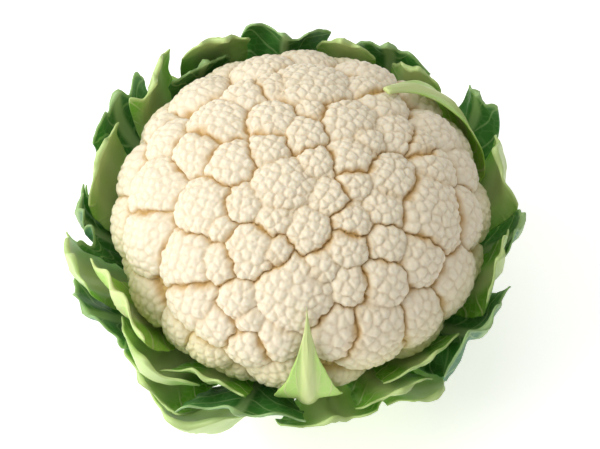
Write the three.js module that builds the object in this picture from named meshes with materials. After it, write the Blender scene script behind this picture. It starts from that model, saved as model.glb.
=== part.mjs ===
// A head of cauliflower, standing on its cut stump. All sizes are in millimetres, +Z is up, and
// the origin is the middle of the stump's cut face. The front of the head, -Y, is the side that a
// cook looks down on.
//
// The head is three kinds of piece:
//   curd    the white flower head, one grown body: large domed florets, each covered in buds
//   stump   the thick stem under the curd, cut flat
//   leaves  trimmed green leaves that grow from the stump and cup the curd, each its own piece
import * as THREE from "three";
import { ConvexHull } from "three/addons/math/ConvexHull.js";

const DEGREE = Math.PI / 180;
const GOLDEN_ANGLE = 137.508 * DEGREE;

const CURD = { radius: 85, rise: 56, drop: 40, centre: 85 }; // a flattened ball, and its centre's height
const STUMP = { radius: 25, height: 44, cutRadius: 22.5, rounding: 4, sides: 40 };
const JOIN_GAP = 0.3; // between the stump's top and the curd's neck
const NECK = 150 * DEGREE; // below this angle from the top the curd is its flat neck
const FLORETS_SEEN_FROM = 56 * DEGREE; // above the horizon, from the front

// The large florets of the front and top: right of the curd's centre, up from it, and radius, as
// they lie in the view from FLORETS_SEEN_FROM.
const FLORETS = [
  // crown
  [-8, 14, 16], [7, 25, 8], [2, 38, 10], [-15, 31, 9], [-31, 25, 12], [13, 9, 9], [23, 27, 11], [24, 15, 8],
  [-13, 45, 12], [5, 49, 6], [21, 44, 15], [29, 35, 8],
  // far side of the crown
  [4, 62, 22], [-13, 61, 10], [-25, 57, 11], [-38, 44, 16], [-47, 32, 12], [38, 53, 11], [31, 60, 9],
  // right
  [44, 39, 10], [54, 34, 8], [65, 40, 13], [61, 23, 11], [75, 24, 11], [41, 17, 14], [37, 5, 10],
  [59, 3, 22], [38, -11, 9], [54, -17, 12], [76, 1, 13], [71, -30, 17],
  // middle
  [4, -5, 11], [-11, 0, 8], [-25, 6, 9], [-43, 5, 14], [-35, -4, 5], [-22, -14, 13], [-11, -14, 6],
  [22, -2, 9], [20, -13, 10], [9, -21, 7], [-28, -36, 8], [-36, -20, 8],
  // left
  [-72, -9, 16], [-68, 14, 16], [-62, 36, 11], [-50, -20, 15], [-48, -37, 13], [-56, -51, 7],
  // near side
  [-3, -33, 19], [21, -29, 8], [37, -28, 11], [33, -53, 19], [54, -46, 14], [17, -51, 12],
  [-38, -47, 10], [-23, -57, 10], [-23, -44, 5], [-11, -54, 9], [-43, -61, 10],
];
// The florets that fill the rest of the curd, largest first.
const FILLERS = { radii: [14, 10, 7], tries: 420, overlap: 0.9, lowest: 118 * DEGREE };

// How a floret's cap falls away to its rim.
const CAP = { drop: 0.2, power: 2.6, deepest: 5, stand: 0.05 };

// The buds: how far apart, how far down the curd, and how high their crest, ring and valley are.
const BUDS = { spacing: 12, nearest: 0.66, lowest: 122 * DEGREE };
const BUD_RELIEF = { crest: 1.3, ring: 0.7, ringAt: 0.55, valley: 1.7 };

// The bowl that the leaves lie in: a little outside the curd, from the stump out and up round it.
const BOWL = { radius: 86.6, rise: 57.8, drop: 41.8, from: 17.3 * DEGREE, to: 152 * DEGREE };
const WRAP_REACH = 8; // a leaf's width is measured this far outside the bowl
const GRID = { around: 240, along: 90 }; // cells that note how far out the leaves laid so far reach
const LEAF_GAP = 0.8; // between a leaf and what it lies on
const NEAR = { across: 4, along: 7 }; // how far round a place a leaf clears what it lies on
const EASE = { from: 2, to: 14 }; // how far past an edge a leaf still lifts the next one
const ROWS = 7;
const COLUMNS = [-1, -0.72, -0.4, -0.17, 0, 0.17, 0.4, 0.72, 1];
const STALK = { halfWidth: 9.5, thick: 6.5, side: 2.6 }; // the leaf stalk where it meets the stump
const BLADE_THICK = 0.9;

// What a leaf has unless its own line says otherwise. Angles are in degrees.
const LEAF = {
  azimuth: 0, // where it stands round the stump, from +X towards +Y
  bend: 0, // how far round its tip leans
  top: 100, // how far up the bowl it was trimmed: 90 is level with the curd's widest part
  width: 28, // half width at the widest
  point: 0, // 1 narrows to a pointed tip
  sag: 6, // how much lower the trimmed edge is at its corners
  tilt: 0, // how much higher at one corner
  jag: 1.5, // depth of the torn edge
  teeth: 3, // tears along it
  rib: 8, // half width of the pale midrib at the top
  ribThick: 2.8,
  flare: 0, // how far the upper half stands out
  fold: 0, // how much further the top bends out
  belly: 0, // how far the stalk bulges out
  edge: 0, // how far the side margins stand out
  ripple: 0, // depth of the waves in the margins
  waves: 2,
};

// The leaves, from the innermost out, in the order that they overlap.
const LEAVES = {
  heart_leaf_front: {
    azimuth: 272, top: 128, width: 16, point: 1, sag: 0, jag: 0, rib: 3, ribThick: 2, belly: 1,
  },
  heart_leaf_left: { azimuth: 212, top: 107, width: 24, sag: 9, rib: 5, ribThick: 2, flare: 2, fold: 10 },
  leaf_inner_left: { azimuth: 243, top: 90, width: 20, sag: 6, rib: 4, ribThick: 2, flare: 1, fold: 3 },
  leaf_inner_right: { azimuth: 308, top: 88, width: 22, sag: 7, rib: 4, ribThick: 2, flare: 1, fold: 2 },
  heart_leaf_right: {
    azimuth: 31, bend: 12, top: 144, width: 21, point: 0.9, sag: 0, jag: 0, rib: 3, ribThick: 2, belly: 2,
  },
  dark_leaf_back_left: {
    azimuth: 122, top: 110, width: 17, sag: 7, tilt: 3, jag: 2, rib: 3, flare: 2, ripple: 2,
  },
  leaf_right: { azimuth: 343, top: 100, width: 21, sag: 9, rib: 5, flare: 5, edge: 1, ripple: 1 },
  leaf_back: { azimuth: 116, top: 117, width: 17, sag: 6, rib: 10, flare: 6 },
  leaf_back_right: { azimuth: 76, top: 115, width: 15, sag: 11, rib: 7, flare: 3 },
  leaf_far_right: { azimuth: 14, top: 107, width: 18, sag: 14, rib: 10, flare: 6, edge: 1 },
  leaf_far_left: { azimuth: 167, top: 107, width: 21, sag: 7, tilt: -2, rib: 12, flare: 5, fold: 4 },
  dark_leaf_frilly: {
    azimuth: 181, top: 99, width: 17, sag: 9, jag: 4, teeth: 5, rib: 3, flare: 2, ripple: 2,
  },
  leaf_front_left: { azimuth: 226, top: 93, width: 25, sag: 12, rib: 10, belly: 3, flare: 1 },
  leaf_torn: { azimuth: 137, top: 112, width: 15, sag: 9, jag: 2, rib: 8, flare: 5, edge: 1 },
  leaf_front: { azimuth: 298, top: 81, width: 20, sag: 10, rib: 6, flare: 3, edge: 3, ripple: 2 },
  leaf_small: { azimuth: 54, top: 107, width: 14, sag: 12, rib: 7, flare: 3 },
  dark_leaf_back: {
    azimuth: 95, top: 117, width: 20, sag: 9, tilt: -2, jag: 3, rib: 3, flare: 3, ripple: 2,
  },
  leaf_left: { azimuth: 194, top: 98, width: 17, sag: 7, tilt: 2, rib: 10, flare: 4, belly: 3 },
  dark_leaf_front: {
    azimuth: 254, top: 87, width: 27, sag: 8, jag: 2, rib: 3, flare: 2, fold: 5, ripple: 2,
  },
  dark_leaf_near_right: {
    azimuth: 326, top: 91, width: 27, sag: 9, jag: 3, rib: 4, flare: 3, edge: 0, ripple: 2, waves: 3,
  },
  dark_leaf_right: { azimuth: 358, top: 93, width: 12, sag: 10, jag: 2, rib: 4 },
  dark_leaf_far: {
    azimuth: 64, top: 106, width: 18, sag: 10, jag: 2, rib: 4, flare: 2, ripple: 2, waves: 3,
  },
  leaf_pointing_right: { azimuth: 35, top: 104, width: 17, sag: 5, point: 0.55, jag: 1, rib: 3, flare: 9 },
  leaf_pointing_left: {
    azimuth: 147, top: 102, width: 21, sag: 5, tilt: 3, jag: 3, rib: 4, flare: 5, ripple: 2,
  },
  dark_leaf_left: { azimuth: 206, top: 88, width: 20, sag: 10, jag: 2, rib: 4, flare: 2, ripple: 2 },
  wrapper_near_left: { azimuth: 227, top: 78, width: 27, sag: 9, jag: 2, rib: 6, ripple: 2, belly: 2 },
  wrapper_bulging: { azimuth: 243, top: 77, width: 30, sag: 10, rib: 13, ribThick: 4, belly: 13 },
  wrapper_front: {
    azimuth: 279, top: 74, width: 29, sag: 9, jag: 2, rib: 8, belly: 6, flare: 1, ripple: 1,
  },
  wrapper_near_right: { azimuth: 308, top: 69, width: 20, sag: 8, rib: 8, belly: 8, flare: 2, edge: 2 },
  wrapper_back: {
    azimuth: 112, top: 89, width: 26, jag: 3, rib: 7, belly: 3, flare: 2, ripple: 2, waves: 3,
  },
  wrapper_back_right: {
    azimuth: 40, top: 84, width: 28, sag: 9, jag: 3, rib: 8, belly: 4, ripple: 2, waves: 3,
  },
};

const clamp = (x, low, high) => Math.min(high, Math.max(low, x));
const mix = (a, b, k) => a + (b - a) * k;
const smooth = (low, high, x) => {
  const k = clamp((x - low) / (high - low), 0, 1);
  return k * k * (3 - 2 * k);
};

const curdDrop = (direction) => (direction.z < 0 ? CURD.drop : CURD.rise);

// How far the plain flattened ball reaches from its centre in a direction.
function plainReach(direction) {
  const across = Math.hypot(direction.x, direction.y) / CURD.radius;
  return 1 / Math.hypot(across, direction.z / curdDrop(direction));
}

// The outward normal of the plain ball at a point on it.
function plainNormal(point) {
  const across = CURD.radius ** 2;
  const height = curdDrop(point) ** 2;
  return new THREE.Vector3(point.x / across, point.y / across, point.z / height).normalize();
}

// The point on the plain ball that is seen at (right, up) from the front.
function seenPoint(right, up) {
  const sine = Math.sin(FLORETS_SEEN_FROM);
  const cosine = Math.cos(FLORETS_SEEN_FROM);
  const towards = new THREE.Vector3(0, -cosine, sine);
  for (let share = 1; share > 0; share -= 0.01) {
    const point = new THREE.Vector3(right * share, up * share * sine, up * share * cosine);
    point.addScaledVector(towards, 2 * CURD.radius);
    for (let step = 0; step < 2 * CURD.radius; step += 0.25) {
      if (point.length() <= plainReach(point.clone().normalize())) return point;
      point.addScaledVector(towards, -0.25);
    }
  }
  throw new Error("nothing is seen there");
}

// The florets: those listed, then fillers on a golden spiral wherever one has room.
function makeFlorets() {
  const florets = FLORETS.map(([right, up, radius]) => ({ at: seenPoint(right, up), radius }));
  const { radii, tries, overlap, lowest } = FILLERS;
  for (const radius of radii) {
    for (let i = 0; i < tries; i++) {
      const polar = Math.acos(1 - (1 - Math.cos(lowest)) * ((i + 0.5) / tries));
      const around = i * GOLDEN_ANGLE;
      const out = Math.sin(polar);
      const direction = new THREE.Vector3(out * Math.cos(around), out * Math.sin(around), Math.cos(polar));
      const at = direction.multiplyScalar(plainReach(direction));
      if (florets.every((other) => other.at.distanceTo(at) > overlap * (other.radius + radius)))
        florets.push({ at, radius });
    }
  }
  return florets;
}

// How deep under the plain ball the curd's surface lies at a point of it, and which floret is there.
function floretDepth(florets, point) {
  let depth = CAP.deepest;
  let owner = null;
  for (const floret of florets) {
    const share = floret.at.distanceTo(point) / floret.radius;
    const fall = floret.radius * (CAP.drop * share ** CAP.power - CAP.stand);
    if (fall < depth) [depth, owner] = [fall, floret];
  }
  return { depth, owner };
}

function floretReach(florets, direction) {
  const plain = plainReach(direction);
  return plain - floretDepth(florets, direction.clone().multiplyScalar(plain)).depth;
}

// Directions of the buds: a golden spiral over each floret, as far as its own rim.
function budDirections(florets) {
  const found = [];
  const step = BUDS.spacing * 0.525;
  const up = new THREE.Vector3(0, 0, 1);
  for (const floret of florets) {
    const turn = new THREE.Quaternion().setFromUnitVectors(up, plainNormal(floret.at));
    for (let k = 0; step * Math.sqrt(k + 0.35) < 1.3 * floret.radius; k++) {
      const out = step * Math.sqrt(k + 0.35);
      const around = k * GOLDEN_ANGLE;
      const offset = new THREE.Vector3(out * Math.cos(around), out * Math.sin(around), 0);
      const direction = floret.at.clone().add(offset.applyQuaternion(turn)).normalize();
      const point = direction.clone().multiplyScalar(plainReach(direction));
      const own = floretDepth(florets, point).owner === floret;
      const low = Math.acos(direction.z) > BUDS.lowest;
      const clear = (other) => other.distanceTo(point) > BUDS.spacing * BUDS.nearest;
      if (own && !low && found.every(clear)) found.push(point);
    }
  }
  return found.map((point) => point.normalize());
}

// Directions that carry the smooth underside, from the neck out to the lowest buds.
function undersideDirections() {
  const rings = [[8, 150], [12, 139], [16, 128]];
  const found = [new THREE.Vector3(0, 0, -1)];
  for (const [count, polar] of rings) {
    for (let i = 0; i < count; i++) {
      const around = ((i + polar / 7) / count) * 2 * Math.PI;
      const out = Math.sin(polar * DEGREE);
      const along = Math.cos(polar * DEGREE);
      found.push(new THREE.Vector3(out * Math.cos(around), out * Math.sin(around), along));
    }
  }
  return found;
}

// The curd: a cell for each bud, from its crest over a ring to the valleys it shares with the next.
function curdGeometry() {
  const florets = makeFlorets();
  const buds = budDirections(florets);
  const cells = [...buds, ...undersideDirections()];
  const neck = CURD.centre - STUMP.height - JOIN_GAP;
  const pointAt = (direction, lift) => {
    const bumpy = 1 - smooth(112 * DEGREE, 126 * DEGREE, Math.acos(direction.z));
    const reach = mix(plainReach(direction), floretReach(florets, direction) + lift, bumpy);
    const flat = Math.acos(direction.z) > NECK - 0.01;
    return direction.clone().multiplyScalar(flat ? neck / -direction.z : reach);
  };
  const hull = new ConvexHull().setFromPoints(cells);
  const index = new Map(cells.map((cell, i) => [cell, i]));
  const corners = cells.map(() => new Map()); // per cell: neighbour -> the valley corner that follows it
  const positions = [];
  const triangle = (a, b, c) => positions.push(...a.toArray(), ...b.toArray(), ...c.toArray());
  for (const face of hull.faces) {
    const [a, b, c] = [0, 1, 2].map((k) => index.get(face.getEdge(k).head().point));
    const corner = face.normal.clone().normalize();
    corners[a].set(b, { corner, next: c });
    corners[b].set(c, { corner, next: a });
    corners[c].set(a, { corner, next: b });
  }
  cells.forEach((cell, i) => {
    const isBud = i < buds.length;
    const crest = pointAt(cell, isBud ? BUD_RELIEF.crest : 0);
    const first = corners[i].keys().next().value;
    let at = first;
    do {
      const here = corners[i].get(at);
      const after = corners[i].get(here.next);
      const valleys = [here.corner, after.corner].map((d) => pointAt(d, -BUD_RELIEF.valley));
      const rings = [here.corner, after.corner].map((d) =>
        pointAt(cell.clone().lerp(d, BUD_RELIEF.ringAt).normalize(), isBud ? BUD_RELIEF.ring : 0),
      );
      triangle(crest, rings[0], rings[1]);
      triangle(rings[0], valleys[0], valleys[1]);
      triangle(rings[0], valleys[1], rings[1]);
      at = here.next;
    } while (at !== first);
  });
  const geometry = new THREE.BufferGeometry();
  geometry.setAttribute("position", new THREE.Float32BufferAttribute(positions, 3));
  return geometry.translate(0, 0, CURD.centre);
}

// The bowl's profile at an angle up from straight down: radius, height and the way out of it.
function bowlAt(angle) {
  const drop = angle < Math.PI / 2 ? BOWL.drop : BOWL.rise;
  const tilt = Math.atan2(Math.sin(angle) / BOWL.radius, Math.cos(angle) / drop);
  const out = tilt * smooth(BOWL.from, BOWL.from + 25 * DEGREE, angle);
  return {
    radius: BOWL.radius * Math.sin(angle),
    height: CURD.centre - drop * Math.cos(angle),
    outR: Math.sin(out),
    outZ: -Math.cos(out),
  };
}

// Where a leaf lies on the bowl: how far up it is at each place across it, and how wide.
class LeafShape {
  constructor(own) {
    Object.assign(this, LEAF, own);
  }
  middle(angle) {
    return (this.azimuth + this.bend * smooth(0.5, 1, this.rise(angle, 0))) * DEGREE;
  }
  topAt(across) {
    const torn = this.jag * Math.sin(across * this.teeth * Math.PI + this.azimuth);
    return (this.top - this.sag * across * across + this.tilt * across + torn) * DEGREE;
  }
  rise(angle, across) {
    return clamp((angle - BOWL.from) / (this.topAt(across) - BOWL.from), 0, 1);
  }
  halfWidth(angle) {
    const u = (angle - BOWL.from) / (Math.PI / 2 - BOWL.from);
    const broad = mix(STALK.halfWidth, this.width, smooth(0.15, 0.9, u));
    return broad * (1 - this.point * smooth(0.5, 1.02, this.rise(angle, 0)));
  }
  // How far the leaf stands out of what it lies on.
  lift(s, across) {
    const bulge = this.belly * Math.sin(Math.PI * Math.min(1, s)) ** 2;
    const flare = this.flare * smooth(0.5, 1.1, s) * 1.05 + this.fold * smooth(0.72, 1.05, s);
    const margin = this.edge * Math.abs(across) ** 3 * smooth(0.3, 0.8, s);
    const phase = this.azimuth + (across > 0 ? 1.7 : 0);
    const wave = 0.5 + 0.5 * Math.sin(2 * Math.PI * this.waves * s + phase);
    return bulge + flare + margin + this.ripple * wave * across * across * smooth(0.3, 0.7, s);
  }
  // The outer face between the rows and columns that it was laid at.
  outerAt(s, across) {
    const row = Math.min(Math.floor(s * ROWS), ROWS - 1);
    const found = COLUMNS.findIndex((edge, i) => i > 0 && across <= edge);
    const column = found < 0 ? COLUMNS.length - 1 : found;
    const x = (across - COLUMNS[column - 1]) / (COLUMNS[column] - COLUMNS[column - 1]);
    const at = (line) => mix(this.outer[line][column - 1], this.outer[line][column], x);
    return mix(at(row), at(row + 1), s * ROWS - row);
  }
  thickness(s, wide) {
    const side = mix(STALK.side, BLADE_THICK, smooth(0, 0.5, s));
    const rib = mix(STALK.thick, this.ribThick, smooth(0, 0.9, s));
    const ribWidth = mix(STALK.halfWidth, this.rib, smooth(0, 0.8, s));
    const from = clamp(Math.abs(wide) / ribWidth, 0, 1);
    return side + (rib - side) * (1 - from * from);
  }
}

// Notes how far out of the bowl the leaves laid so far reach, so that the next one lies on them.
class Pile {
  constructor() {
    this.out = new Float64Array(GRID.around * (GRID.along + 1));
    this.stepAngle = (BOWL.to - BOWL.from) / GRID.along;
    this.stepAround = (2 * Math.PI) / GRID.around;
  }
  at(around, angle) {
    const column = (((around / this.stepAround) % GRID.around) + GRID.around) % GRID.around;
    const row = clamp((angle - BOWL.from) / this.stepAngle, 0, GRID.along - 1e-6);
    const [c, r] = [Math.floor(column), Math.floor(row)];
    const [x, y] = [column - c, row - r];
    const cell = (dc, dr) => this.out[((c + dc) % GRID.around) * (GRID.along + 1) + r + dr];
    return mix(mix(cell(0, 0), cell(1, 0), x), mix(cell(0, 1), cell(1, 1), x), y);
  }
  // The most that the pile reaches near a place on a leaf, so that a flat face clears what is between
  // its corners.
  most(leaf, angle, across) {
    const reach = bowlAt(angle).radius + WRAP_REACH;
    const around = leaf.middle(angle) + (across * leaf.halfWidth(angle)) / reach;
    const near = [-1, -0.5, 0, 0.5, 1];
    const stepAround = NEAR.across / reach;
    const stepUp = NEAR.along / BOWL.radius;
    const found = near.flatMap((up) =>
      near.map((side) => this.at(around + side * stepAround, angle + up * stepUp)),
    );
    return Math.max(...found);
  }
  // How far out a leaf's inner and outer face are at each row and column.
  lay(leaf) {
    leaf.inner = [];
    leaf.outer = [];
    for (let row = 0; row <= ROWS; row++) {
      const inner = COLUMNS.map((across) => {
        const angle = mix(BOWL.from, leaf.topAt(across), row / ROWS);
        return this.most(leaf, angle, across) + LEAF_GAP + leaf.lift(row / ROWS, across);
      });
      const wide = COLUMNS.map((across) => {
        return across * leaf.halfWidth(mix(BOWL.from, leaf.topAt(across), row / ROWS));
      });
      leaf.inner.push(inner);
      leaf.outer.push(inner.map((out, column) => out + leaf.thickness(row / ROWS, wide[column])));
    }
    this.add(leaf);
  }
  add(leaf) {
    const next = this.out.slice();
    for (let c = 0; c < GRID.around; c++) {
      for (let r = 0; r <= GRID.along; r++) {
        const angle = BOWL.from + r * this.stepAngle;
        const turn = c * this.stepAround - leaf.middle(angle);
        const wide = Math.atan2(Math.sin(turn), Math.cos(turn)) * (bowlAt(angle).radius + WRAP_REACH);
        const across = clamp(wide / leaf.halfWidth(angle), -1, 1);
        const beside = Math.max(0, Math.abs(wide) - leaf.halfWidth(angle));
        const above = Math.max(0, angle - leaf.topAt(across)) * BOWL.radius;
        const past = Math.hypot(beside, above);
        if (past > EASE.to) continue;
        const cell = c * (GRID.along + 1) + r;
        const outer = leaf.outerAt(leaf.rise(angle, across), across);
        next[cell] = Math.max(next[cell], mix(this.out[cell], outer, 1 - smooth(EASE.from, EASE.to, past)));
      }
    }
    this.out = next;
  }
}

function leafGeometry(leaf) {
  const faces = [[], []]; // the inner and the outer face, row by row
  for (let row = 0; row <= ROWS; row++) {
    COLUMNS.forEach((across, column) => {
      const angle = mix(BOWL.from, leaf.topAt(across), row / ROWS);
      const bowl = bowlAt(angle);
      const around = leaf.middle(angle) + (across * leaf.halfWidth(angle)) / (bowl.radius + WRAP_REACH);
      [leaf.inner, leaf.outer].forEach((face, side) => {
        const out = face[row][column];
        const radius = bowl.radius + out * bowl.outR;
        const height = bowl.height + out * bowl.outZ;
        faces[side].push(radius * Math.cos(around), radius * Math.sin(around), height);
      });
    });
  }
  const across = COLUMNS.length;
  const count = (ROWS + 1) * across;
  const triangles = [];
  const quad = (a, b, c, d) => triangles.push(a, b, c, a, c, d);
  for (let row = 0; row < ROWS; row++) {
    for (let column = 0; column < across - 1; column++) {
      const at = row * across + column;
      const [a, b, c, d] = [at, at + 1, at + across + 1, at + across];
      triangles.push(a, c, b, a, d, c);
      triangles.push(count + a, count + b, count + c, count + a, count + c, count + d);
    }
  }
  for (let row = 0; row < ROWS; row++) {
    const [low, high] = [row * across, (row + 1) * across];
    quad(low, count + low, count + high, high);
    const [lowEnd, highEnd] = [low + across - 1, high + across - 1];
    quad(lowEnd, highEnd, count + highEnd, count + lowEnd);
  }
  for (let column = 0; column < across - 1; column++) {
    quad(column, column + 1, count + column + 1, count + column);
    const end = ROWS * across + column;
    quad(end, count + end, count + end + 1, end + 1);
  }
  const geometry = new THREE.BufferGeometry();
  geometry.setAttribute("position", new THREE.Float32BufferAttribute([...faces[0], ...faces[1]], 3));
  return geometry.setIndex(triangles);
}

function stumpGeometry() {
  const { radius, height, cutRadius, rounding, sides } = STUMP;
  const profile = [
    [0, 0],
    [cutRadius, 0],
    [mix(cutRadius, radius, 0.75), rounding * 0.3],
    [radius, rounding],
    [radius, height],
    [0, height],
  ];
  return new THREE.LatheGeometry(
    profile.map(([x, y]) => new THREE.Vector2(x, y)),
    sides,
  ).rotateX(Math.PI / 2);
}

const curdWhite = new THREE.MeshStandardMaterial({ color: 0xf2e8cf, roughness: 0.75, metalness: 0 });
const stumpWhite = new THREE.MeshStandardMaterial({ color: 0xdfe6b8, roughness: 0.6, metalness: 0 });
const heartGreen = new THREE.MeshStandardMaterial({ color: 0xc3d38b, roughness: 0.5, metalness: 0 });
const leafGreen = new THREE.MeshStandardMaterial({ color: 0x86a856, roughness: 0.5, metalness: 0 });
const darkGreen = new THREE.MeshStandardMaterial({ color: 0x356b23, roughness: 0.5, metalness: 0 });

function leafMaterial(name) {
  if (name.startsWith("heart")) return heartGreen;
  return name.startsWith("dark") || name.includes("pointing") ? darkGreen : leafGreen;
}

const head = new THREE.Group();

function addPiece(name, geometry, material) {
  const piece = new THREE.Mesh(geometry, material);
  piece.name = name;
  head.add(piece);
}

addPiece("curd", curdGeometry(), curdWhite);
addPiece("stump", stumpGeometry(), stumpWhite);

const pile = new Pile();
for (const [name, own] of Object.entries(LEAVES)) {
  const leaf = new LeafShape(own);
  pile.lay(leaf);
  addPiece(name, leafGeometry(leaf), leafMaterial(name));
}

export default head;
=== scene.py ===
import math

import bpy
import numpy as np
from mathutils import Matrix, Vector


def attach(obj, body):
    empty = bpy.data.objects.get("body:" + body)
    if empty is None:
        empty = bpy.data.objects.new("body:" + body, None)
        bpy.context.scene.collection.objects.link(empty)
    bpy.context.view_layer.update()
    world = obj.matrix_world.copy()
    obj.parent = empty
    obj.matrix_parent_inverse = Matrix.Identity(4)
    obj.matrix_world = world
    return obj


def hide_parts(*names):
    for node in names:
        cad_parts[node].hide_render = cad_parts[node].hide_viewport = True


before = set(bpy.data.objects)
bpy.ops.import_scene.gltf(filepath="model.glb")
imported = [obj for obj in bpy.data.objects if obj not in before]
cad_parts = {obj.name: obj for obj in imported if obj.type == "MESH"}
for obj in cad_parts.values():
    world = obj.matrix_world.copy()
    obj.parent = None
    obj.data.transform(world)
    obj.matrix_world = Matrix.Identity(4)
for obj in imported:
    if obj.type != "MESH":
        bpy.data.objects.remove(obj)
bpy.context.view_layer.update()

# The table, the light and the camera
# The head stands on a white table, under a large soft window light from the upper left. The
# camera looks down on the front of the head from the photograph's height and distance.

MM = 0.001  # the head's own sizes are in millimetres, and everything else is in metres
TABLE_SIZE, TABLE_ROUGHNESS, TABLE_GLOW = 12.0, 0.55, 0.5
TABLE_WHITE = (0.93, 0.93, 0.925, 1)
ROOM_WHITE, ROOM_LIGHT = (1.0, 0.985, 0.95, 1), 0.38
LIGHTS = {
    "window": dict(place=(-1.3, -0.25, 0.95), size=1.5, power=23.0, colour=(1.0, 0.99, 0.97)),
    "ceiling": dict(place=(-0.2, 0.3, 1.6), size=1.4, power=7.0, colour=(1.0, 1.0, 1.0)),
}
LIT_POINT = Vector((0, 0, 0.08))  # the middle of the head


def principled(name, **values):
    """A new material, with plain values on its Principled BSDF's sockets."""
    material = bpy.data.materials.new(name)
    material.use_nodes = True
    shader = material.node_tree.nodes["Principled BSDF"]
    for key, value in values.items():
        shader.inputs[key.replace("_", " ")].default_value = value
    return material


def place_object(name, data):
    """An object with this mesh, light or camera, put in the scene."""
    placed = bpy.data.objects.new(name, data)
    bpy.context.collection.objects.link(placed)
    return placed


bpy.ops.mesh.primitive_plane_add(size=TABLE_SIZE)
table_top = bpy.context.object
table_top.name = "table_top"
table_glow = dict(Emission_Color=(1, 1, 1, 1), Emission_Strength=TABLE_GLOW)
white_table = principled("white table", Base_Color=TABLE_WHITE, Roughness=TABLE_ROUGHNESS, **table_glow)
table_top.data.materials.append(white_table)

world = bpy.data.worlds.new("white room")
bpy.context.scene.world = world
world.use_nodes = True
world.node_tree.nodes["Background"].inputs["Color"].default_value = ROOM_WHITE
world.node_tree.nodes["Background"].inputs["Strength"].default_value = ROOM_LIGHT

for name, own in LIGHTS.items():
    panel = bpy.data.lights.new(name, "AREA")
    panel.size = own["size"]
    panel.energy = own["power"]
    panel.color = own["colour"]
    light = place_object(name, panel)
    light.location = own["place"]
    light.rotation_euler = (LIT_POINT - Vector(own["place"])).to_track_quat("-Z", "Y").to_euler()

CAMERA_ELEVATION = math.radians(56)
CAMERA_DISTANCE = 0.9
CAMERA_TARGET = Vector((0, 0, 0.085))  # the middle of the curd
MM_PER_PIXEL = 0.452  # at the target
PICTURE_SIZE = (600, 449)
TARGET_PIXEL = (301, 218)
SENSOR_WIDTH = 36

camera_data = bpy.data.cameras.new("camera")
camera_data.sensor_width = SENSOR_WIDTH
camera_data.lens = SENSOR_WIDTH * CAMERA_DISTANCE / (PICTURE_SIZE[0] * MM_PER_PIXEL * MM)
camera_data.shift_x = (PICTURE_SIZE[0] / 2 - TARGET_PIXEL[0]) / PICTURE_SIZE[0]
camera_data.shift_y = (TARGET_PIXEL[1] - PICTURE_SIZE[1] / 2) / PICTURE_SIZE[0]
camera = place_object("camera", camera_data)
towards = Vector((0, -math.cos(CAMERA_ELEVATION), math.sin(CAMERA_ELEVATION)))
camera.location = CAMERA_TARGET + CAMERA_DISTANCE * towards
camera.rotation_euler = (math.pi / 2 - CAMERA_ELEVATION, 0, 0)
bpy.context.scene.camera = camera
bpy.context.scene.view_settings.view_transform = "Standard"

# The curd
# One grown body of large domed florets. Each floret is packed with buds, each bud with smaller
# ones, and those with fine grains. It is creamy white, with tan shade painted into the creases.

DEGREE = math.pi / 180
GOLDEN_ANGLE = 137.508 * DEGREE
CURD_RADIUS, CURD_RISE, CURD_DROP, CURD_CENTRE = 85, 56, 40, 85
NECK_HEIGHT, NECK_FROM = 44.3, 150 * DEGREE  # the flat underside that the stump carries
# Each floret that the camera sees: how far right of and above the curd's middle it appears, and
# its radius.
FLORETS = [
    # the crown
    [-8, 14, 16], [7, 25, 8], [2, 38, 10], [-15, 31, 9], [-31, 25, 12], [13, 9, 9], [23, 27, 11],
    [24, 15, 8], [-13, 45, 12], [5, 49, 6], [21, 44, 15], [29, 35, 8],
    # the far side of the crown
    [4, 62, 22], [-13, 61, 10], [-25, 57, 11], [-38, 44, 16], [-47, 32, 12], [38, 53, 11], [31, 60, 9],
    # the right
    [44, 39, 10], [54, 34, 8], [65, 40, 13], [61, 23, 11], [75, 24, 11], [41, 17, 14], [37, 5, 10],
    [59, 3, 22], [38, -11, 9], [54, -17, 12], [76, 1, 13], [71, -30, 17],
    # the middle
    [4, -5, 11], [-11, 0, 8], [-25, 6, 9], [-43, 5, 14], [-35, -4, 5], [-22, -14, 13], [-11, -14, 6],
    [22, -2, 9], [20, -13, 10], [9, -21, 7], [-28, -36, 8], [-36, -20, 8],
    # the left
    [-72, -9, 16], [-68, 14, 16], [-62, 36, 11], [-50, -20, 15], [-48, -37, 13], [-56, -51, 7],
    # the near side
    [-3, -33, 19], [21, -29, 8], [37, -28, 11], [33, -53, 19], [54, -46, 14], [17, -51, 12],
    [-38, -47, 10], [-23, -57, 10], [-23, -44, 5], [-11, -54, 9], [-43, -61, 10],
]
SIGHT_STEP, SIGHT_PULL = 0.25, 0.01  # how finely a line of sight is followed and drawn inwards
FILLER_RADII, FILLER_TRIES, FILLER_OVERLAP, FILLER_LOWEST = (14, 10, 7), 420, 0.9, 118 * DEGREE
CAP_DROP, CAP_POWER, CAP_DEEPEST, CAP_STAND = 0.2, 2.6, 5, 0.05  # how a floret falls to its rim
BUD_SPACING, LUMP_SPACING, BUD_NEAREST, BUD_LOWEST = 12, 4.5, 0.66, 122 * DEGREE
BUD_REACH = 0.75  # a bud's radius as a share of the spacing
SPIRAL_STEP, SPIRAL_START, SPIRAL_REACH = 0.525, 0.35, 1.3  # shares of a spacing, a turn, a radius
SCALLOP, SCALLOP_SOFT = 0.8, 0.8  # how far the lumps push a crease round themselves
BRANCH_LEAST = 12  # a floret this large is a branch, and smaller ones belong to the nearest one
BRANCH_CREASE, BRANCH_HALF = 2.3, 1.6  # how deep a crease is, and half its width
FLORET_CREASE, FLORET_HALF = 0.7, 1.2
BUD_RISE, BUD_HALF, BUD_STEEP = 0.35, 4.5, 0.7
LUMP_RISE, LUMP_HALF, LUMP_STEEP = 0.8, 2.1, 0.8
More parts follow.
